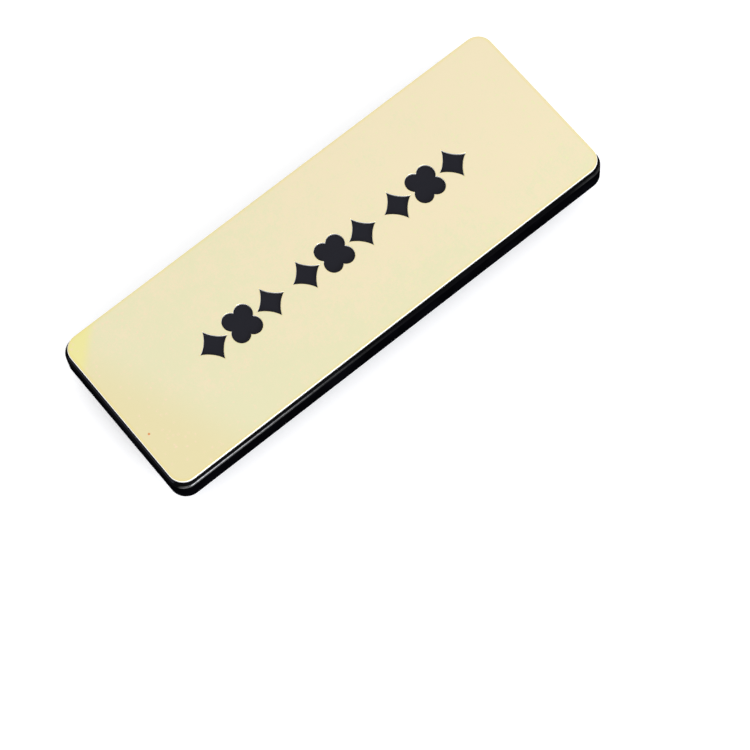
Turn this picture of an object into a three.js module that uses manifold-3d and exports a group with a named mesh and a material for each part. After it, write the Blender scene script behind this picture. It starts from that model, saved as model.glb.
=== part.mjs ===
import * as THREE from 'three';
import { mergeVertices } from 'three/addons/utils/BufferGeometryUtils.js';
import Module from 'manifold-3d';

// A magnetic name badge in millimetres, lying face up on its own magnet holder.
// +X runs along the badge, +Y towards its top edge and +Z up. The origin is on the
// surface that the badge lies on, under the middle of the plate.

// Badge plate
const plateLength = 76.2;
const plateWidth = 28;
const plateThickness = 3.8;
const plateCornerRadius = 2.5;
const plateEdgeRound = 0.35;

// Gold face sheet, laid a little towards the right and the top of the plate
const sheetThickness = 0.4;
const sheetRimLeft = 0.5;
const sheetRimRight = 0.12;
const sheetRimTop = 0.12;
const sheetRimBottom = 0.6;

// Band of marks cut through the face sheet
const markGroups = 3;
const marksPerGroup = 3;
const markBandMargin = 14;
const markGroupGap = 1.6;
const markSpacing = 0.25;
const markHeight = 5.2;
const starWaist = 0.16;
const petalShare = 0.28;

// Magnet holder
const holderLength = 44;
const holderWidth = 12.4;
const holderHeight = 3.2;
const holderCornerRadius = 1.7;
const holderFloorThickness = 1.35;
const holderWallThickness = 0.8;
const holderEdgeRound = 0.35;
const holderStepHeight = 1.2;
const holderStepInset = 0.15;
const holderOffset = 2;

// Shallow recesses in the holder's long sides and ends
const sideRecessDepth = 1;
const sideRecessLength = 17;
const sideRecessShoulder = 2.2;
const endRecessDepth = 0.4;
const endRecessLength = 4;
const endRecessShoulder = 1.4;

// Sunk pattern on the holder's outer face
const grooveDepth = 0.3;
const grooveWidth = 0.5;
const lozengeLength = 6;
const lozengeWidth = 7;
const lozengeInset = 7.2;
const innerLozengeLength = 2.2;
const innerLozengeWidth = 2.6;
const ribRows = 2;
const ribRowLength = 17.5;
const ribRowSpacing = 3.4;
const ribsPerRow = 8;
const ribLength = 2.3;
const ribCornerShare = 0.45;

// Steel bar and the tape that holds it
const steelThickness = 1;
const steelInset = 0.05;
const metalEdgeRound = 0.15;
const tapeThickness = 0.5;
const tapeInset = 0.45;

// Clearances
const layerGap = 0.05;
const magnetClearance = 0.1;

const cornerSteps = 6;
const holderSteps = 4;
const grooveSteps = 1;
const roundSteps = 3;
const cutMargin = 1;

const wasm = await Module();
wasm.setup();

// A rectangle with round corners, centred on x, y.
function roundedRectangle(length, width, radius, x = 0, y = 0) {
  const a = length / 2 - radius;
  const b = width / 2 - radius;
  const shape = new THREE.Shape();
  shape.absarc(x + a, y + b, radius, 0, Math.PI / 2);
  shape.absarc(x - a, y + b, radius, Math.PI / 2, Math.PI);
  shape.absarc(x - a, y - b, radius, Math.PI, Math.PI * 1.5);
  shape.absarc(x + a, y - b, radius, Math.PI * 1.5, Math.PI * 2);
  shape.closePath();
  return shape;
}

// A lozenge with its points on the X and Y axes, centred on x, y.
function lozenge(length, width, x, y) {
  const shape = new THREE.Shape();
  shape.moveTo(x + length / 2, y);
  shape.lineTo(x, y + width / 2);
  shape.lineTo(x - length / 2, y);
  shape.lineTo(x, y - width / 2);
  shape.closePath();
  return shape;
}

// A star with four points and hollow sides. A smaller waist makes the sides hollower, and
// with a waist of 0.25 they are straight.
function star(width, height, waist, x) {
  const shape = new THREE.Shape();
  shape.moveTo(x + width / 2, 0);
  shape.quadraticCurveTo(x + width * waist, height * waist, x, height / 2);
  shape.quadraticCurveTo(x - width * waist, height * waist, x - width / 2, 0);
  shape.quadraticCurveTo(x - width * waist, -height * waist, x, -height / 2);
  shape.quadraticCurveTo(x + width * waist, -height * waist, x + width / 2, 0);
  return shape;
}

// A flower of four round petals, one in each corner of its box. Its petal share is a
// petal's radius over the width.
function quatrefoil(width, height, share, x) {
  const offset = 0.5 - share;
  const overlap = Math.asin(offset / share);
  const shape = new THREE.Shape();
  for (let quarter = 0; quarter < 4; quarter++) {
    const start = quarter * Math.PI / 2;
    const corner = start + Math.PI / 4;
    shape.absellipse(
      x + width * offset * Math.SQRT2 * Math.cos(corner),
      height * offset * Math.SQRT2 * Math.sin(corner),
      width * share,
      height * share,
      start - overlap,
      start + Math.PI / 2 + overlap
    );
  }
  return shape;
}

// The holder's outline: a round-cornered rectangle with a shallow recess in the middle of
// each side, entered over two smooth shoulders. inset moves the whole outline inwards.
function holderOutline(inset) {
  const a = holderLength / 2 - inset;
  const b = holderWidth / 2 - inset;
  const radius = holderCornerRadius - inset;
  const sides = [
    { along: a, out: b, depth: sideRecessDepth, half: sideRecessLength / 2, run: sideRecessShoulder },
    { along: b, out: a, depth: endRecessDepth, half: endRecessLength / 2, run: endRecessShoulder }
  ];
  const shape = new THREE.Shape();
  for (let quarter = 0; quarter < 4; quarter++) {
    const side = sides[quarter % 2];
    const turn = quarter * Math.PI / 2;
    const cos = Math.cos(turn);
    const sin = Math.sin(turn);
    // Turns a point of the lower long side, which runs along +X, round to this side.
    const place = (u, v) => [cos * u + sin * v, sin * u - cos * v];
    const floor = side.out - side.depth;
    const start = place(-side.along + radius, side.out);
    if (quarter === 0) shape.moveTo(...start);
    shape.lineTo(...place(-side.half - side.run, side.out));
    shape.bezierCurveTo(
      ...place(-side.half - side.run / 2, side.out),
      ...place(-side.half - side.run / 2, floor),
      ...place(-side.half, floor)
    );
    shape.lineTo(...place(side.half, floor));
    shape.bezierCurveTo(
      ...place(side.half + side.run / 2, floor),
      ...place(side.half + side.run / 2, side.out),
      ...place(side.half + side.run, side.out)
    );
    shape.lineTo(...place(side.along - radius, side.out));
    const centre = place(side.along - radius, side.out - radius);
    shape.absarc(...centre, radius, turn - Math.PI / 2, turn);
  }
  shape.closePath();
  return shape;
}

// Straight-sided slab of a shape, from z to z + height.
function slab(shape, z, height, steps = cornerSteps) {
  const geometry = new THREE.ExtrudeGeometry(shape, {
    depth: height, bevelEnabled: false, curveSegments: steps
  });
  return geometry.translate(0, 0, z);
}

// Slab of a shape with all its edges rounded, from z to z + height.
function roundedSlab(shape, z, height, round, steps = cornerSteps) {
  const geometry = new THREE.ExtrudeGeometry(shape, {
    depth: height - 2 * round,
    bevelEnabled: true,
    bevelThickness: round,
    bevelSize: round,
    bevelOffset: -round,
    bevelSegments: roundSteps,
    curveSegments: steps
  });
  return geometry.translate(0, 0, z + round);
}

function toSolid(geometry) {
  geometry.deleteAttribute('normal');
  geometry.deleteAttribute('uv');
  const merged = mergeVertices(geometry, 1e-4);
  return new wasm.Manifold(new wasm.Mesh({
    numProp: 3,
    vertProperties: new Float32Array(merged.attributes.position.array),
    triVerts: new Uint32Array(merged.index.array)
  }));
}

function toGeometry(solid) {
  const mesh = solid.getMesh();
  const geometry = new THREE.BufferGeometry();
  geometry.setAttribute('position', new THREE.BufferAttribute(mesh.vertProperties, 3));
  geometry.setIndex(new THREE.BufferAttribute(mesh.triVerts, 1));
  geometry.computeVertexNormals();
  return geometry;
}

function namedMesh(name, geometry, color, roughness, metalness) {
  const material = new THREE.MeshStandardMaterial({ color, roughness, metalness });
  const mesh = new THREE.Mesh(geometry, material);
  mesh.name = name;
  return mesh;
}

// Heights of the stack, from the surface up
const steelBottom = holderHeight + layerGap;
const tapeBottom = steelBottom + steelThickness + layerGap;
const plateBottom = tapeBottom + tapeThickness + layerGap;
const sheetBottom = plateBottom + plateThickness + layerGap;

// The magnet's pocket in the holder, open on the side that meets the steel bar
const pocketLength = holderLength - 2 * holderWallThickness;
const pocketWidth = holderWidth - 2 * holderWallThickness;
const pocketCornerRadius = holderCornerRadius - holderWallThickness / 2;

// Moulded tray: a body with a rounded outer edge, a slightly wider skirt above a small
// step, the magnet's pocket and the sunk pattern. The side recesses are deeper than the
// wall, so the pocket opens through them.
function magnetCover() {
  const edged = roundedSlab(holderOutline(holderStepInset), 0, holderHeight, holderEdgeRound, holderSteps);
  const skirtHeight = holderHeight - holderStepHeight;
  const skirt = slab(holderOutline(0), holderStepHeight, skirtHeight, holderSteps);
  let solid = toSolid(edged).add(toSolid(skirt));

  const pocket = roundedRectangle(pocketLength, pocketWidth, pocketCornerRadius);
  const pocketDepth = holderHeight - holderFloorThickness;
  solid = solid.subtract(toSolid(slab(pocket, holderFloorThickness, pocketDepth + cutMargin)));

  const cut = (shape) => {
    solid = solid.subtract(toSolid(slab(shape, -cutMargin, cutMargin + grooveDepth, grooveSteps)));
  };
  for (const side of [-1, 1]) {
    const x = side * (holderLength / 2 - lozengeInset);
    const outer = lozenge(lozengeLength, lozengeWidth, x, 0);
    outer.holes.push(lozenge(lozengeLength - 2 * grooveWidth, lozengeWidth - 2 * grooveWidth, x, 0));
    cut(outer);
    cut(lozenge(innerLozengeLength, innerLozengeWidth, x, 0));
  }
  const ribPitch = ribRowLength / (ribsPerRow - 1);
  for (let row = 0; row < ribRows; row++) {
    const y = (row - (ribRows - 1) / 2) * ribRowSpacing;
    for (let rib = 0; rib < ribsPerRow; rib++) {
      const x = -ribRowLength / 2 + rib * ribPitch;
      cut(roundedRectangle(grooveWidth, ribLength, grooveWidth * ribCornerShare, x, y));
    }
  }
  return toGeometry(solid).translate(0, holderOffset, 0);
}

function magnetBar() {
  const shape = roundedRectangle(
    pocketLength - 2 * magnetClearance,
    pocketWidth - 2 * magnetClearance,
    pocketCornerRadius - magnetClearance
  );
  const bottom = holderFloorThickness + layerGap;
  return roundedSlab(shape, bottom, holderHeight - bottom, metalEdgeRound).translate(0, holderOffset, 0);
}

function steelBar() {
  const shape = roundedRectangle(
    holderLength - 2 * steelInset, holderWidth - 2 * steelInset, holderCornerRadius - steelInset
  );
  return roundedSlab(shape, steelBottom, steelThickness, metalEdgeRound).translate(0, holderOffset, 0);
}

function adhesiveTape() {
  const inset = steelInset + tapeInset;
  const shape = roundedRectangle(
    holderLength - 2 * inset, holderWidth - 2 * inset, holderCornerRadius - inset
  );
  return slab(shape, tapeBottom, tapeThickness).translate(0, holderOffset, 0);
}

function backingPlate() {
  const shape = roundedRectangle(plateLength, plateWidth, plateCornerRadius);
  return roundedSlab(shape, plateBottom, plateThickness, plateEdgeRound);
}

// Thin sheet with the band of marks cut through it: groups of marks in which a star and a
// quatrefoil take turns.
function faceSheet() {
  const length = plateLength - sheetRimLeft - sheetRimRight;
  const width = plateWidth - sheetRimTop - sheetRimBottom;
  const centreX = (sheetRimLeft - sheetRimRight) / 2;
  const centreY = (sheetRimBottom - sheetRimTop) / 2;
  const radius = plateCornerRadius - Math.min(sheetRimRight, sheetRimTop);
  const shape = roundedRectangle(length, width, radius);

  const bandLength = length - 2 * markBandMargin;
  const marks = markGroups * marksPerGroup;
  const gaps = (markGroups - 1) * markGroupGap + (marks - markGroups) * markSpacing;
  const markWidth = (bandLength - gaps) / marks;
  let x = -bandLength / 2 + markWidth / 2;
  for (let group = 0; group < markGroups; group++) {
    for (let mark = 0; mark < marksPerGroup; mark++) {
      shape.holes.push(mark % 2
        ? quatrefoil(markWidth, markHeight, petalShare, x)
        : star(markWidth, markHeight, starWaist, x));
      x += markWidth + (mark === marksPerGroup - 1 ? markGroupGap : markSpacing);
    }
  }
  return slab(shape, sheetBottom, sheetThickness).translate(centreX, centreY, 0);
}

const badge = new THREE.Group();
badge.add(
  namedMesh('backing_plate', backingPlate(), 0x1b1b1f, 0.42, 0),
  namedMesh('face_sheet', faceSheet(), 0xecdfb2, 0.38, 0.7),
  namedMesh('adhesive_tape', adhesiveTape(), 0x2b2b2e, 0.9, 0),
  namedMesh('steel_bar', steelBar(), 0xd6d6d8, 0.25, 1)
);

const holder = new THREE.Group();
holder.add(
  namedMesh('magnet_cover', magnetCover(), 0x303034, 0.45, 0),
  namedMesh('magnet_bar', magnetBar(), 0xc9c9cc, 0.3, 1)
);

const part = new THREE.Group();
part.add(badge, holder);
export default part;
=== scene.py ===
import math

import bmesh
import bpy
from mathutils import Matrix, Vector


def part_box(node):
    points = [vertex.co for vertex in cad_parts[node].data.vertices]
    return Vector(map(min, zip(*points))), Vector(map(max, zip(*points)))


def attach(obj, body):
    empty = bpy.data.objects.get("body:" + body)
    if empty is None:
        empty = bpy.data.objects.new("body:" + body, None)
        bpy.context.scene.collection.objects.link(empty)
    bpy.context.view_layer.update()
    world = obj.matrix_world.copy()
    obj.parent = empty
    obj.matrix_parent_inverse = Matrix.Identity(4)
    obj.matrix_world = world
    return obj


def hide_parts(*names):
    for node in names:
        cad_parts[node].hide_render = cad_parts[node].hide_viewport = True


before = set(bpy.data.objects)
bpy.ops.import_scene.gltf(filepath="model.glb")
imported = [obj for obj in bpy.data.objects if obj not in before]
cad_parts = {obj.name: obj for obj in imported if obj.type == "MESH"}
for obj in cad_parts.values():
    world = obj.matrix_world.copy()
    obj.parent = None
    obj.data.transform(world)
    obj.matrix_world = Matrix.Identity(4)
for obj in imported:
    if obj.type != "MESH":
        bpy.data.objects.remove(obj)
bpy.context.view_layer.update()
mm = 0.001

# Camera
# The badge is seen from above with a long lens, turned so that its length runs up to the
# right, and it stands in the upper left of a picture that is 750 pixels each way.
picture_width = 750
focal_pixels = 3000
sensor_width = 36
nearest_seen = 10 * mm
camera_azimuth = math.radians(-31.4)
camera_elevation = math.radians(68.65)
camera_roll = math.radians(-8.15)
camera_distance = 418.6 * mm
face_centre_pixel = (334.3, 253)
face_low, face_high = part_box("face_sheet")
face_centre = (Vector(face_low) + Vector(face_high)) / 2
face_centre.z = face_high[2]

back = Vector((
    math.sin(camera_azimuth) * math.cos(camera_elevation),
    -math.cos(camera_azimuth) * math.cos(camera_elevation),
    math.sin(camera_elevation),
))
level_right = Vector((0, 0, 1)).cross(back).normalized()
level_up = back.cross(level_right)
right = math.cos(camera_roll) * level_right + math.sin(camera_roll) * level_up
up = back.cross(right)
across = (face_centre_pixel[0] - picture_width / 2) * camera_distance / focal_pixels
above = (picture_width / 2 - face_centre_pixel[1]) * camera_distance / focal_pixels

camera_data = bpy.data.cameras.new("camera")
camera_data.sensor_width = sensor_width
camera_data.lens = sensor_width * focal_pixels / picture_width
camera_data.clip_start = nearest_seen
camera = bpy.data.objects.new("camera", camera_data)
turn = Matrix((right, up, back)).transposed().to_4x4()
place = face_centre - right * across - up * above + back * camera_distance
camera.matrix_world = Matrix.Translation(place) @ turn
bpy.context.collection.objects.link(camera)
bpy.context.scene.camera = camera

# Backing plate
# The body of the badge: a thick oblong plate of black plastic, moulded with round corners
# and softly rounded, polished edges. Its back is satin, and its walls are left dull from
# the cut, with slanted cutter marks along the back edge of its short ends. The marks are
# real in the bump, and their lighter grey-blue colour is a painted reflection.
plate_corner_radius = 2.5 * mm
plate_edge_round = 0.35 * mm
plate_black = (0.0008, 0.0008, 0.0012, 1)
plate_black_worn = (0.002, 0.002, 0.0028, 1)
plate_black_dull = (0.016, 0.016, 0.021, 1)
plate_back = (0.003, 0.003, 0.006, 1)
# The lighter grey-blue of the cutter marks is a painted reflection of light on the rough cut.
scratch_and_sheen_grey = (0.06, 0.07, 0.09, 1)
plate_dust = (0.55, 0.55, 0.6, 1)
plate_rim = 2 * mm
same_place = 1e-6
wall_slope = 0.7


def add_block(name, low, high):
    """A cube brought to a box's size and place, with its place in its mesh."""
    low = Vector(low)
    high = Vector(high)
    bpy.ops.object.select_all(action="DESELECT")
    bpy.ops.mesh.primitive_cube_add(size=1, location=(low + high) / 2, scale=high - low)
    block = bpy.context.object
    block.name = name
    bpy.ops.object.transform_apply(location=True, rotation=True, scale=True)
    return block


def select_only(piece, kind, test):
    """In edit mode, selects the vertices, edges or faces of a piece that pass a test."""
    bpy.ops.mesh.select_mode(type={"verts": "VERT", "edges": "EDGE", "faces": "FACE"}[kind])
    bpy.ops.mesh.select_all(action="DESELECT")
    shape = bmesh.from_edit_mesh(piece.data)
    for part in getattr(shape, kind):
        if test(part):
            part.select_set(True)
    bmesh.update_edit_mesh(piece.data)


def is_upright(edge):
    run = edge.verts[1].co - edge.verts[0].co
    return Vector((run.x, run.y)).length < same_place and abs(run.z) > same_place


def rims_at(*heights):
    """A test for the edges that lie at one of the heights and border a wall."""
    def test(edge):
        level = all(min(abs(v.co.z - h) for h in heights) < same_place for v in edge.verts)
        return level and any(abs(face.normal.z) < wall_slope for face in edge.link_faces)
    return test


def round_block(piece, corner_radius, edge_round, corner_steps=14, edge_steps=5):
    """Rounds a block's upright corners, then the rims of its top and bottom."""
    heights = sorted({round(v.co.z, 7) for v in piece.data.vertices})
    bpy.ops.object.mode_set(mode="EDIT")
    select_only(piece, "edges", is_upright)
    bpy.ops.mesh.bevel(offset=corner_radius, segments=corner_steps, profile=0.5, affect="EDGES")
    if edge_round:
        select_only(piece, "edges", rims_at(heights[0], heights[-1]))
        bpy.ops.mesh.bevel(offset=edge_round, segments=edge_steps, profile=0.5, affect="EDGES")
    bpy.ops.object.mode_set(mode="OBJECT")


def apply_modifier(piece, kind, **settings):
    bpy.ops.object.select_all(action="DESELECT")
    piece.select_set(True)
    bpy.context.view_layer.objects.active = piece
    modifier = piece.modifiers.new(kind.lower(), kind)
    for name, value in settings.items():
        setattr(modifier, name, value)
    bpy.ops.object.modifier_apply(modifier=modifier.name)


def smooth(piece, sharp_angle=35):
    """Smooth shading that keeps hard edges and leaves the large flats flat."""
    bpy.ops.object.select_all(action="DESELECT")
    piece.select_set(True)
    bpy.context.view_layer.objects.active = piece
    bpy.ops.object.shade_smooth_by_angle(angle=math.radians(sharp_angle))
    apply_modifier(piece, "WEIGHTED_NORMAL", weight=100, keep_sharp=True)


class Wire:
    """A value in a material. Arithmetic on it adds Math nodes, and node adds any other."""

    def __init__(self, socket):
        self.socket = socket
        self.tree = socket.id_data

    def node(self, kind, settings, values, output=0):
        """A new node, its settings first, then the values or wires of its sockets."""
        made = self.tree.nodes.new(kind)
        for name, value in settings.items():
            if name == "stops":
                ramp = made.color_ramp.elements
                for place, colour in value[2:]:
                    ramp.new(place)
                for stop, (place, colour) in zip(ramp, value):
                    stop.position = place
                    stop.color = colour
            else:
                setattr(made, name, value)
        for name, value in values.items():
            self.set(made.inputs[name], value)
        return Wire(made.outputs[output])

    def set(self, socket, value):
        if isinstance(value, Wire):
            self.tree.links.new(value.socket, socket)
        else:
            socket.default_value = value

    def math(self, operation, *values):
        return self.node("ShaderNodeMath", {"operation": operation}, dict(enumerate(values)))

    def __add__(self, other):
        return self.math("ADD", self, other)

    def __sub__(self, other):
        return self.math("SUBTRACT", self, other)

    def __rsub__(self, other):
        return self.math("SUBTRACT", other, self)

    def __mul__(self, other):
        return self.math("MULTIPLY", self, other)

    __radd__ = __add__
    __rmul__ = __mul__

    def size(self):
        return self.math("ABSOLUTE", self)

    def power(self, exponent):
        return self.math("POWER", self, exponent)

    def at_least(self, low):
        return self.math("MAXIMUM", self, low)

    def over(self, edge, blur):
        """A mask that is 1 where the value is above an edge, with a blurred border."""
        return self.node(
            "ShaderNodeMapRange", {"interpolation_type": "SMOOTHSTEP"},
            {"Value": self, "From Min": edge - blur / 2, "From Max": edge + blur / 2},
        )

    def spread(self, low, high):
        """The value, which runs from 0 to 1, brought to the range from low to high."""
        return self * (high - low) + low

    def axis(self, letter):
        return self.node("ShaderNodeSeparateXYZ", {}, {"Vector": self}, letter)

    def noise(self, scale, detail=2, rough=0.5, stretch=(1, 1, 1), turn=(0, 0, 0)):
        """Cloudy noise, its spots stretched along each axis and then turned."""
        shaped = self.node(
            "ShaderNodeMapping", {"vector_type": "TEXTURE"},
            {"Vector": self, "Scale": stretch, "Rotation": turn},
        )
        return self.node(
            "ShaderNodeTexNoise", {},
            {"Vector": shaped, "Scale": scale, "Detail": detail, "Roughness": rough},
        )

    def specks(self, scale, share, size):
        """Small dots, one in a share of the cells of a random lattice."""
        settings = {"feature": "F1"}
        near = self.node("ShaderNodeTexVoronoi", settings, {"Vector": self, "Scale": scale}, "Distance")
        lot = self.node("ShaderNodeTexVoronoi", settings, {"Vector": self, "Scale": scale}, "Color")
        chosen = 1 - lot.axis("X").over(share, 0.001)
        return (1 - near.over(size, size)) * chosen

    def mix(self, first, second):
        """Two colours mixed by this value."""
        return self.node(
            "ShaderNodeMix", {"data_type": "RGBA"}, {0: self, 6: first, 7: second}, 2
        )

    def bump(self, depth, under=None):
        """A surface raised by this value times a depth, on top of another bump."""
        values = {"Height": self, "Distance": depth, "Strength": 1}
        if under:
            values["Normal"] = under
        return self.node("ShaderNodeBump", {}, values)


def new_material(name):
    """A material with its shader, and the wire of its Object coordinates."""
    material = bpy.data.materials.new(name)
    material.use_nodes = True
    shader = material.node_tree.nodes["Principled BSDF"]
    where = material.node_tree.nodes.new("ShaderNodeTexCoord")
    return material, shader, Wire(where.outputs["Object"])


def finish_shader(shader, **sockets):
    """Sets or links the shader's sockets, named with _ for a space."""
    for name, value in sockets.items():
        socket = shader.inputs[name.replace("_", " ")]
        if isinstance(value, Wire):
            value.tree.links.new(value.socket, socket)
        else:
            socket.default_value = value


def level_and_rounded(where):
    """Masks of a piece's level faces, and of its rounded edges."""
    tilt = where.node("ShaderNodeNewGeometry", {}, {}, "Normal").axis("Z").size()
    level = tilt.over(0.93, 0.06)
    return level, tilt.over(0.2, 0.2) * (1 - level)


def dress(piece, material, body, slot, *nodes):
    """Gives a finished piece its material, and names what it rides on and replaces."""
    piece.data.materials.clear()
    piece.data.materials.append(material)
    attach(piece, body)
    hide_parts(*nodes)


plate_low, plate_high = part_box("backing_plate")
plate = add_block("moulded_plate", plate_low, plate_high)
round_block(plate, plate_corner_radius, plate_edge_round)
smooth(plate)

plate_black_plastic, shader, where = new_material("black_plate_plastic")
height = where.axis("Z")
lengthwise = where.axis("X")
crosswise = where.axis("Y")
flat, rounded = level_and_rounded(where)
upper = height.over((plate_low[2] + plate_high[2]) / 2, 0.1 * mm)
cloud = where.noise(140, 4, 0.6)
grain = where.noise(9000, 2, 0.6)
dust = where.specks(900, 0.05, 0.1)
fine_dust = 0.3 * where.specks(1900, 0.1, 0.12)
end_zone = lengthwise.size().over(plate_high[0] - 0.3 * mm, 0.3 * mm)
low_zone = 1 - height.over(plate_low[2] + 0.7 * mm, 0.8 * mm)
# Cutter marks on the short ends: real marks in the bump, and a painted reflection where they are
# coloured lighter.
cut_marks_and_sheen = where.noise(3200, 2, 0.6, (1, 1, 5), (math.radians(50), 0, 0)).over(0.55, 0.12)
cut_marks_and_sheen = cut_marks_and_sheen * end_zone * low_zone
colour = cloud.over(0.55, 0.3).mix(plate_black, plate_black_worn)
colour = ((1 - upper) * flat).mix(colour, plate_back)
covered = upper * flat * (1 - crosswise.size().over(plate_high[1] - plate_rim, 0.2 * mm))
colour = (covered * cloud.spread(0.8, 1.0)).mix(colour, plate_black_dull)
# Painted reflection: the cutter marks are coloured a lighter grey-blue.
colour = cut_marks_and_sheen.mix(colour, scratch_and_sheen_grey)
back_face = 1 - height.over(plate_low[2] + 0.2 * mm, 0.1 * mm)
colour = ((dust + fine_dust) * back_face).mix(colour, plate_dust)
front_edge = 1 - crosswise.over(plate_low[1] + 0.9 * mm, 0.8 * mm)
fading = (1 - lengthwise.over(-10 * mm, 66 * mm)).power(3)
corner_glint = 0.22 * lengthwise.over(33 * mm, 5 * mm)
far_edge = crosswise.over(plate_high[1] - 0.9 * mm, 0.8 * mm)
dents = where.noise(2400, 2, 0.7).over(0.45, 0.3).spread(0.6, 1.1)
top_polish = (front_edge * (fading + corner_glint) * dents + far_edge * 0.6).spread(0.02, 1)
under_polish = (cloud + grain).spread(0.2, 0.34)
polish = (
    upper * (rounded * top_polish + flat * 0.02)
    + (1 - upper) * (rounded * 0.8 + flat * under_polish)
)
finish_shader(
    shader,
    Base_Color=colour,
    Roughness=cloud.spread(0.42, 0.62),
    Coat_Weight=polish,
    Coat_Roughness=0.16,
    Coat_IOR=2.0,
    Specular_IOR_Level=0.0,
    Normal=cut_marks_and_sheen.bump(0.03 * mm, grain.bump(0.0012 * mm)),
)
dress(plate, plate_black_plastic, "badge", "plate_plastic", "backing_plate")

# Face sheet
# A thin sheet of pale gold anodised aluminium glued on the plate, a little towards its
# right and its top, so that a black rim shows along the two lower sides. A band of marks is
# cut through it, and every cut edge is bare bright metal.
sheet_corner_radius = 2.38 * mm
sheet_edge_bevel = 0.16 * mm
sheet_edge_band = 0.3 * mm
mark_edge_bevel = 0.1 * mm
smallest_edge = 0.01 * mm
cutter_overrun = 1 * mm
mark_groups = 3
marks_per_group = 3
mark_band_margin = 14 * mm
mark_group_gap = 1.6 * mm
mark_spacing = 0.25 * mm
mark_height = 5.2 * mm
marks_reach = 0.6
petal_share = 0.28
petal_corners = 32
star_waist = 0.141
star_curve_percent = 97
star_curve_steps = 8
gold = (0.753, 0.662, 0.452, 1)
gold_green = (0.695, 0.667, 0.435, 1)
gold_yellow = (0.705, 0.632, 0.375, 1)
gold_stain = (0.74, 0.69, 0.3, 1)
gold_rim = (0.74, 0.62, 0.22, 1)
edge_metal = (0.66, 0.65, 0.62, 1)
gold_fleck = (0.7, 0.705, 0.4, 1)
gold_blush = (0.8, 0.63, 0.46, 1)
sheet_edge_tint = 0.3
tarnish = (0.62, 0.22, 0.06, 1)
tarnish_place = (-36.06 * mm, -4.38 * mm)
tarnish_size = 0.16 * mm
bare_metal = (0.95, 0.94, 0.92, 1)


def flat_shape(name, vertices):
    """A flat disc of diameter 1 at the origin, in edit mode, with a corner on each axis."""
    bpy.ops.object.select_all(action="DESELECT")
    bpy.ops.mesh.primitive_circle_add(vertices=vertices, radius=0.5, fill_type="NGON")
    shape = bpy.context.object
    shape.name = name
    bpy.ops.object.mode_set(mode="EDIT")
    return shape


def in_band(edge):
    """An edge of the marks, and not of the sheet's outline."""
    return all(
        abs(v.co.x - face_centre.x) < marks_reach * band_length
        and abs(v.co.y - face_centre.y) < marks_reach * mark_height
        for v in edge.verts
    )


def on_diagonal(vertex):
    return abs(abs(vertex.co.x) - abs(vertex.co.y)) < same_place


def stretch_and_raise(shape, width, height, low, high):
    """Brings a flat shape to its size, and makes it a cutter from low to high."""
    bpy.ops.mesh.select_all(action="SELECT")
    bpy.ops.transform.resize(value=(width, height, 1))
    bpy.ops.transform.translate(value=(0, 0, low))
    bpy.ops.mesh.extrude_region_move(TRANSFORM_OT_translate={"value": (0, 0, high - low)})
    bpy.ops.mesh.select_all(action="SELECT")
    bpy.ops.mesh.normals_make_consistent(inside=False)
    bpy.ops.object.mode_set(mode="OBJECT")
    bpy.ops.object.transform_apply(location=True, rotation=True, scale=True)


def cut_away(piece, cutter):
    apply_modifier(piece, "BOOLEAN", operation="DIFFERENCE", solver="EXACT", object=cutter)
    bpy.data.objects.remove(cutter)


def cut_copies(piece, cutter, *rounds):
    """Cuts a cutter's copies out of a piece, one round of places after another.

    The doubled corners that a cut leaves are merged, so the next cut meets a closed piece.
    """
    for places in rounds:
        copies = []
        for place in places:
            copy = cutter.copy()
            copy.data = cutter.data.copy()
            copy.data.transform(Matrix.Translation(place))
            bpy.context.collection.objects.link(copy)
            copies.append(copy)
        bpy.ops.object.select_all(action="DESELECT")
        for copy in copies:
            copy.select_set(True)
        bpy.context.view_layer.objects.active = copies[0]
        bpy.ops.object.join()
        cut_away(piece, copies[0])
        bpy.ops.object.select_all(action="DESELECT")
        bpy.context.view_layer.objects.active = piece
        bpy.ops.object.mode_set(mode="EDIT")
        bpy.ops.mesh.select_all(action="SELECT")
        bpy.ops.mesh.remove_doubles(threshold=same_place)
        bpy.ops.object.mode_set(mode="OBJECT")
    bpy.data.objects.remove(cutter)


def split_flats(piece, places):
    """Divides a piece on planes through each place, so no cut leaves a face with a hole."""
    bpy.ops.object.select_all(action="DESELECT")
    piece.select_set(True)
    bpy.context.view_layer.objects.active = piece
    bpy.ops.object.mode_set(mode="EDIT")
    for axis, normal in enumerate(((1, 0, 0), (0, 1, 0))):
        for level in sorted({round(place[axis], 6) for place in places}):
            bpy.ops.mesh.select_all(action="SELECT")
            bpy.ops.mesh.bisect(plane_co=[level * part for part in normal], plane_no=normal)
    bpy.ops.object.mode_set(mode="OBJECT")


sheet_low = Vector(face_low)
sheet_high = Vector(face_high)
sheet = add_block("gold_face", sheet_low, sheet_high)
round_block(sheet, sheet_corner_radius, 0)

band_length = sheet_high.x - sheet_low.x - 2 * mark_band_margin
marks = mark_groups * marks_per_group
gaps = (mark_groups - 1) * mark_group_gap + (marks - mark_groups) * mark_spacing
mark_width = (band_length - gaps) / marks
flower_places = []
star_places = []
x = face_centre.x - band_length / 2 + mark_width / 2
for group in range(mark_groups):
    for mark in range(marks_per_group):
        places = flower_places if mark % 2 else star_places
        places.append(Vector((x, face_centre.y, 0)))
        last = mark == marks_per_group - 1
        x += mark_width + (mark_group_gap if last else mark_spacing)

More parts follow.
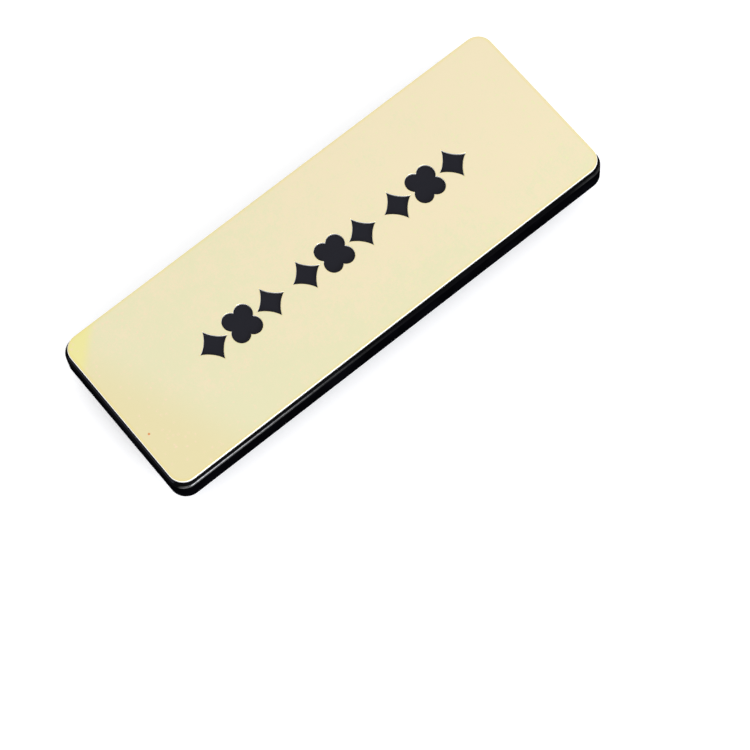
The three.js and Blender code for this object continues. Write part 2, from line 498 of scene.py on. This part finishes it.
split_flats(sheet, flower_places + star_places)
cut_low = Vector((0, 0, sheet_low.z - cutter_overrun))
cut_high = Vector((0, 0, sheet_high.z + cutter_overrun))
petal_offset = 0.5 - petal_share
petal_reach = Vector((petal_offset * mark_width, petal_offset * mark_height, 0))
petal_size = (2 * petal_share * mark_width, 2 * petal_share * mark_height)
petal_rounds = [
    [place + petal_reach * Vector((side, end, 0)) for place in flower_places]
    for side in (-1, 1)
    for end in (-1, 1)
]
petal = flat_shape("petal_cutter", petal_corners)
stretch_and_raise(petal, *petal_size, cut_low.z, cut_high.z)
cut_copies(sheet, petal, *petal_rounds)
heart = add_block("flower_heart_cutter", cut_low - petal_reach, cut_high + petal_reach)
cut_copies(sheet, heart, flower_places)

star = flat_shape("star_cutter", 4)
bpy.ops.mesh.select_all(action="SELECT")
bpy.ops.mesh.subdivide(number_cuts=1)
select_only(star, "verts", on_diagonal)
bpy.ops.transform.resize(value=(4 * star_waist, 4 * star_waist, 1))
bpy.ops.mesh.bevel(
    offset_type="PERCENT", offset_pct=star_curve_percent, segments=star_curve_steps,
    profile=0.5, affect="VERTICES",
)
stretch_and_raise(star, mark_width, mark_height, cut_low.z, cut_high.z)
cut_copies(sheet, star, star_places)

bpy.ops.object.mode_set(mode="EDIT")
bpy.ops.mesh.select_all(action="SELECT")
bpy.ops.mesh.remove_doubles(threshold=smallest_edge)
top_rim = rims_at(sheet_high.z)
select_only(sheet, "edges", lambda edge: top_rim(edge) and in_band(edge))
bpy.ops.mesh.bevel(offset=mark_edge_bevel, segments=3, profile=0.5, affect="EDGES")
select_only(sheet, "edges", lambda edge: top_rim(edge) and not in_band(edge))
bpy.ops.mesh.bevel(offset=sheet_edge_bevel, segments=4, profile=0.5, affect="EDGES")
bpy.ops.object.mode_set(mode="OBJECT")
smooth(sheet)

gold_anodised, shader, where = new_material("pale_gold_anodised")
height = where.axis("Z")
bare = 1 - height.over(sheet_high.z - 0.03 * mm, 0.02 * mm)
rim = 1 - height.over(sheet_high.z - 0.004 * mm, 0.004 * mm)
lengthwise = where.axis("X")
cloud = where.noise(90, 5, 0.6)
blotch = 0.55 * where.noise(260, 6, 0.8) + 0.45 * where.noise(2600, 3, 0.8)
edge_wall = 1 - height.over(sheet_high.z - sheet_edge_bevel - 0.02 * mm, 0.02 * mm)
edge_lines = where.noise(9000, 2, 0.6, (20, 20, 1))
satin = where.noise(14000, 2, 0.6)
flecks = where.specks(1600, 0.24, 0.34) * where.noise(6500, 2, 0.7).over(0.5, 0.16)
crosswise = where.axis("Y")
from_left = lengthwise - sheet_low.x
from_low_corner = from_left + 0.4 * (crosswise - sheet_low.y)
from_high_corner = from_left + (sheet_high.y - crosswise)
# The gold turns darker and yellower towards the lower left corner.
yellower_low_left = 1 - from_low_corner.over(11 * mm, 9 * mm)
stain = (1 - from_high_corner.over(5.5 * mm, 2.5 * mm)) * cloud.spread(0.6, 1.2)
off = where.node(
    "ShaderNodeVectorMath", {"operation": "DISTANCE"},
    {0: where, 1: (*tarnish_place, sheet_high.z)}, "Value",
)
corner_centre = (sheet_high - sheet_low) / 2 - Vector((sheet_corner_radius, sheet_corner_radius, 0))
past_end = ((lengthwise - face_centre.x).size() - corner_centre.x).at_least(0)
past_side = ((crosswise - face_centre.y).size() - corner_centre.y).at_least(0)
outwards = (past_end * past_end + past_side * past_side).power(0.5)
edge_band = outwards.over(sheet_corner_radius - sheet_edge_bevel - sheet_edge_band, 0.12 * mm)
left_half = 1 - lengthwise.over(-8 * mm, 70 * mm)
front_side = 1 - crosswise.over(sheet_low.y + 6 * mm, 6 * mm)
colour = (blotch + 0.17 * left_half + 0.08 * front_side).over(0.6, 0.18).mix(gold, gold_green)
colour = yellower_low_left.mix(colour, gold_yellow)
colour = stain.mix(colour, gold_stain)
colour = flecks.mix(colour, left_half.mix(gold_fleck, gold_blush))
colour = (1 - off.over(tarnish_size, tarnish_size)).mix(colour, tarnish)
colour = (sheet_edge_tint * edge_band).mix(colour, gold_rim)
colour = rim.mix(colour, gold_rim)
colour = bare.mix(colour, bare_metal)
colour = (edge_wall * edge_lines.spread(0.6, 1.2)).mix(colour, edge_metal)
finish_shader(
    shader,
    Base_Color=colour,
    Metallic=0.9 - bare * 0.6 + edge_wall * 0.4,
    Roughness=cloud.spread(0.3, 0.4),
    Normal=satin.bump(0.0006 * mm),
)
dress(sheet, gold_anodised, "badge", "gold_sheet", "face_sheet")

# Steel bar
# A strip of mild steel pressed to shape and nickel plated, stuck along the back of the
# plate. It is what the magnet grips. Its edges are a little rounded from the press.
metal_edge_round = 0.15 * mm
steel_corner_radius = 1.65 * mm
nickel = (0.68, 0.67, 0.65, 1)
nickel_dull = (0.47, 0.455, 0.425, 1)
nickel_scratch = (0.07, 0.062, 0.05, 1)


def nickel_material(name, roughness):
    """Plated metal with fine lines along it, dull patches, dark scratches and a few pits."""
    material, shader, where = new_material(name)
    lines = where.noise(7000, 3, 0.7, (24, 1.5, 1))
    scratches = where.noise(5200, 1, 0.5, (30, 1.2, 1)).over(0.7, 0.05)
    cloud = where.noise(420, 4, 0.6)
    pits = where.specks(1500, 0.08, 0.12)
    colour = (lines + cloud * 0.5).over(0.84, 0.34).mix(nickel, nickel_dull)
    colour = (scratches * 0.7 + pits).mix(colour, nickel_scratch)
    finish_shader(
        shader,
        Base_Color=colour,
        Metallic=1.0,
        Roughness=cloud.spread(roughness - 0.06, roughness + 0.12),
        Normal=(lines - scratches * 0.5).bump(0.004 * mm),
    )
    return material


steel = add_block("pressed_steel_bar", *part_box("steel_bar"))
round_block(steel, steel_corner_radius, metal_edge_round, corner_steps=10, edge_steps=3)
smooth(steel)
dress(steel, nickel_material("bright_nickel", 0.24), "badge", "nickel_steel", "steel_bar")

# Adhesive tape
# Double-sided foam tape cut a little smaller than the steel bar, which it holds to the
# plate. Its edge is ragged, as torn foam is.
tape_corner_radius = 1.2 * mm
tape_long_edge = 5 * mm
tape_edge_cuts = 60
tape_raggedness = 0.1 * mm
tape_grey = (0.018, 0.018, 0.02, 1)
tape_pale = (0.08, 0.08, 0.085, 1)

tape = add_block("foam_tape", *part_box("adhesive_tape"))
round_block(tape, tape_corner_radius, 0, corner_steps=6)
bpy.ops.object.mode_set(mode="EDIT")
select_only(tape, "edges", lambda edge: not is_upright(edge) and edge.calc_length() > tape_long_edge)
bpy.ops.mesh.subdivide(number_cuts=tape_edge_cuts)
select_only(tape, "verts", lambda vertex: True)
bpy.ops.transform.vertex_random(offset=tape_raggedness, uniform=0.0, normal=0.0, seed=4)
bpy.ops.object.mode_set(mode="OBJECT")
smooth(tape, 60)

foam, shader, where = new_material("grey_foam")
cells = where.noise(6000, 3, 0.7)
finish_shader(
    shader,
    Base_Color=cells.over(0.58, 0.3).mix(tape_grey, tape_pale),
    Roughness=cells.spread(0.8, 0.95),
    Specular_IOR_Level=0.2,
    Normal=cells.bump(0.05 * mm),
)
dress(tape, foam, "badge", "foam_tape", "adhesive_tape")

# Magnet bar
# The nickel-plated magnet that lies in the holder's tray, flush with its open side. Its
# bright flank shows through the two recesses in the holder's long sides.
magnet_corner_radius = 1.2 * mm

magnet = add_block("bar_magnet", *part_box("magnet_bar"))
round_block(magnet, magnet_corner_radius, metal_edge_round, corner_steps=8, edge_steps=3)
smooth(magnet)
dress(magnet, nickel_material("streaked_nickel", 0.3), "holder", "nickel_magnet", "magnet_bar")

# Magnet cover
# A moulded tray of dark grey plastic that holds the magnet and lies against the wearer.
# Its sides are drawn in at the middle as finger grips, a fine step runs round them above
# the rounded outer edge, and its outer face has a sunk pattern of lozenges and ribs.
holder_corner_radius = 1.7 * mm
holder_floor = 1.35 * mm
holder_wall = 0.8 * mm
pocket_corner_radius = 1.3 * mm
holder_edge_round = 0.35 * mm
holder_step_height = 1.2 * mm
holder_step_inset = 0.15 * mm
side_recess_depth = 1 * mm
side_recess_length = 17 * mm
side_recess_shoulder = 2.2 * mm
end_recess_depth = 0.4 * mm
end_recess_length = 4 * mm
end_recess_shoulder = 1.4 * mm
recess_round = 0.5 * mm
slight_bend = 0.05
corner_bend = 1.2
outer_face_slope = 0.9
groove_depth = 0.3 * mm
groove_width = 0.5 * mm
lozenge_size = (6 * mm, 7 * mm)
inner_lozenge_size = (2.2 * mm, 2.6 * mm)
lozenge_inset = 7.2 * mm
rib_row_length = 17.5 * mm
rib_row_spacing = 3.4 * mm
ribs_per_row = 8
rib_length = 2.3 * mm
rib_corner_share = 0.35
cover_edge_round = 0.05 * mm
cover_smallest_edge = 0.02 * mm
cover_grey = (0.03, 0.0305, 0.036, 1)
cover_grey_worn = (0.055, 0.056, 0.064, 1)

cover_low, cover_high = (Vector(corner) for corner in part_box("magnet_cover"))
cover_middle = (cover_low + cover_high) / 2
cover = add_block("holder_tray", cover_low + Vector((0, 0, holder_step_height)), cover_high)


def draw_in(piece, across_axis, along_axis, depth, length, shoulder):
    """Draws the middle of two opposite walls in, with a sloped shoulder at each end."""
    half = length / 2
    for place in (-half - shoulder, -half, half, half + shoulder):
        point = cover_middle.copy()
        point[along_axis] += place
        normal = [0, 0, 0]
        normal[along_axis] = 1
        bpy.ops.mesh.select_all(action="SELECT")
        bpy.ops.mesh.bisect(plane_co=point, plane_no=normal)
    for side in (-1, 1):
        reach = (cover_high - cover_low)[across_axis] / 2

        def in_recess(vertex):
            off = vertex.co - cover_middle
            at_wall = abs(off[across_axis] - side * reach) < same_place
            return at_wall and abs(off[along_axis]) < half + same_place

        move = [0, 0, 0]
        move[across_axis] = -side * depth
        select_only(piece, "verts", in_recess)
        bpy.ops.transform.translate(value=move)


def is_shoulder(edge):
    """Upright edges where a wall bends a little, as it does at a recess."""
    return is_upright(edge) and slight_bend < edge.calc_face_angle(0) < corner_bend


def is_corner(edge):
    return is_upright(edge) and edge.calc_face_angle(0) > corner_bend


bpy.ops.object.mode_set(mode="EDIT")
draw_in(
    cover, across_axis=1, along_axis=0,
    depth=side_recess_depth, length=side_recess_length, shoulder=side_recess_shoulder,
)
draw_in(
    cover, across_axis=0, along_axis=1,
    depth=end_recess_depth, length=end_recess_length, shoulder=end_recess_shoulder,
)
select_only(cover, "edges", is_shoulder)
bpy.ops.mesh.bevel(offset=recess_round, segments=4, profile=0.5, affect="EDGES")
select_only(cover, "edges", is_corner)
bpy.ops.mesh.bevel(offset=holder_corner_radius, segments=10, profile=0.5, affect="EDGES")
select_only(cover, "faces", lambda face: face.normal.z < -outer_face_slope)
bpy.ops.mesh.dissolve_faces()
bpy.ops.mesh.inset(thickness=holder_step_inset)
bpy.ops.mesh.extrude_region_move(TRANSFORM_OT_translate={"value": (0, 0, -holder_step_height)})
select_only(cover, "edges", rims_at(cover_low.z))
bpy.ops.mesh.bevel(offset=holder_edge_round, segments=4, profile=0.5, affect="EDGES")
bpy.ops.object.mode_set(mode="OBJECT")

pocket_low = cover_low + Vector((holder_wall, holder_wall, holder_floor))
pocket_high = cover_high + Vector((-holder_wall, -holder_wall, cutter_overrun))
pocket = add_block("pocket_cutter", pocket_low, pocket_high)
round_block(pocket, pocket_corner_radius, 0, corner_steps=8)
cut_away(cover, pocket)


def lozenge_cutter(size, times=1):
    """A cutter for a sunk lozenge, or one that reaches so many times as far."""
    shape = flat_shape("lozenge_cutter", 4)
    low = cover_low.z - times * cutter_overrun
    stretch_and_raise(shape, *size, low, cover_low.z + times * groove_depth)
    return shape


lozenge_offset = (cover_high.x - cover_low.x) / 2 - lozenge_inset
lozenge_places = [
    cover_middle * Vector((1, 1, 0)) + Vector((side * lozenge_offset, 0, 0))
    for side in (-1, 1)
]
rib_pitch = rib_row_length / (ribs_per_row - 1)
rib_places = [
    Vector((
        cover_middle.x - rib_row_length / 2 + number * rib_pitch,
        cover_middle.y + side * rib_row_spacing / 2,
        0,
    ))
    for side in (-1, 1)
    for number in range(ribs_per_row)
]
split_flats(cover, lozenge_places + rib_places)

ring = lozenge_cutter(lozenge_size)
cut_away(ring, lozenge_cutter([size - 2 * groove_width for size in lozenge_size], times=2))
cut_copies(cover, ring, lozenge_places)
cut_copies(cover, lozenge_cutter(inner_lozenge_size), lozenge_places)

rib_low = Vector((-groove_width / 2, -rib_length / 2, cover_low.z - cutter_overrun))
rib_high = Vector((groove_width / 2, rib_length / 2, cover_low.z + groove_depth))
rib = add_block("rib_cutter", rib_low, rib_high)
round_block(rib, groove_width * rib_corner_share, 0, corner_steps=4)
cut_copies(cover, rib, rib_places)
bpy.ops.object.mode_set(mode="EDIT")
bpy.ops.mesh.select_all(action="SELECT")
bpy.ops.mesh.remove_doubles(threshold=cover_smallest_edge)
bpy.ops.mesh.select_all(action="SELECT")
bpy.ops.mesh.dissolve_degenerate(threshold=cover_smallest_edge)
bpy.ops.object.mode_set(mode="OBJECT")
apply_modifier(
    cover, "BEVEL", width=cover_edge_round, segments=2, limit_method="ANGLE",
    angle_limit=math.radians(50), use_clamp_overlap=False,
)
smooth(cover)

grey_moulding, shader, where = new_material("dark_grey_moulding")
cloud = where.noise(250, 4, 0.6)
grain = where.noise(7000, 3, 0.6)
flow = where.noise(900, 4, 0.6, (2.5, 1, 1))
dust = where.specks(1100, 0.06, 0.1) * 0.6 + where.specks(2300, 0.08, 0.12) * 0.3
colour = cloud.over(0.6, 0.5).mix(cover_grey, cover_grey_worn)
colour = dust.mix(colour, plate_dust)
rounded = level_and_rounded(where)[1]
finish_shader(
    shader,
    Base_Color=colour,
    Roughness=flow.spread(0.3, 0.46),
    Specular_IOR_Level=0.35,
    Coat_Weight=rounded * flow.spread(0.5, 1),
    Coat_Roughness=0.14,
    Coat_IOR=2.0,
    Normal=flow.bump(0.004 * mm, grain.bump(0.002 * mm)),
)
dress(cover, grey_moulding, "holder", "cover_plastic", "magnet_cover")

# Floor and light
# A plain light table that glows a little, and the soft light of a studio, a little darker
# between the horizon and the zenith. A lamp low at the front left draws the bright line
# along the plate's rounded edge, and a weak one at the right lifts the gold a little.
floor_size = 6
floor_white = (0.88, 0.88, 0.88, 1)
floor_glow = 0.3
sky_strength = 1.15
sky_stops = [
    (0.0, (1, 1, 1, 1)),
    (0.18, (1, 1, 1, 1)),
    (0.4, (0.66, 0.66, 0.67, 1)),
    (0.6, (0.78, 0.78, 0.79, 1)),
    (0.9, (1.05, 1.05, 1.05, 1)),
]

bpy.ops.object.select_all(action="DESELECT")
bpy.ops.mesh.primitive_plane_add(size=floor_size, location=(0, 0, 0))
floor = bpy.context.object
floor.name = "table_top"
floor_paint, shader, where = new_material("pale_table_top")
finish_shader(
    shader, Base_Color=floor_white, Roughness=0.9, Specular_IOR_Level=0.1,
    Emission_Color=floor_white, Emission_Strength=floor_glow,
)
floor.data.materials.append(floor_paint)


def add_lamp(name, place, target, size, power, colour=(1, 1, 1)):
    lamp_data = bpy.data.lights.new(name, "AREA")
    lamp_data.shape = "DISK"
    lamp_data.size = size
    lamp_data.energy = power
    lamp_data.color = colour
    lamp = bpy.data.objects.new(name, lamp_data)
    lamp.location = place
    lamp.rotation_mode = "QUATERNION"
    lamp.rotation_quaternion = (Vector(target) - Vector(place)).to_track_quat("-Z", "Y")
    bpy.context.collection.objects.link(lamp)


add_lamp(
    "edge_lamp", place=(-0.03, -0.3, 0.16), target=(-0.03, -0.014, 0.008), size=0.16,
    power=0.7, colour=(0.92, 0.94, 1),
)
add_lamp("key_lamp", place=(0.5, 0.1, 0.7), target=(0, 0, 0), size=0.5, power=0.17)

world = bpy.data.worlds.new("studio")
bpy.context.scene.world = world
world.use_nodes = True
sky = world.node_tree.nodes["Background"].inputs["Color"]
direction = Wire(world.node_tree.nodes.new("ShaderNodeTexCoord").outputs["Generated"])
bands = direction.node("ShaderNodeValToRGB", {"stops": sky_stops}, {0: direction.axis("Z")})
direction.set(sky, bands)
world.node_tree.nodes["Background"].inputs["Strength"].default_value = sky_strength
bpy.context.scene.view_settings.view_transform = "Standard"

bpy.context.view_layer.update()
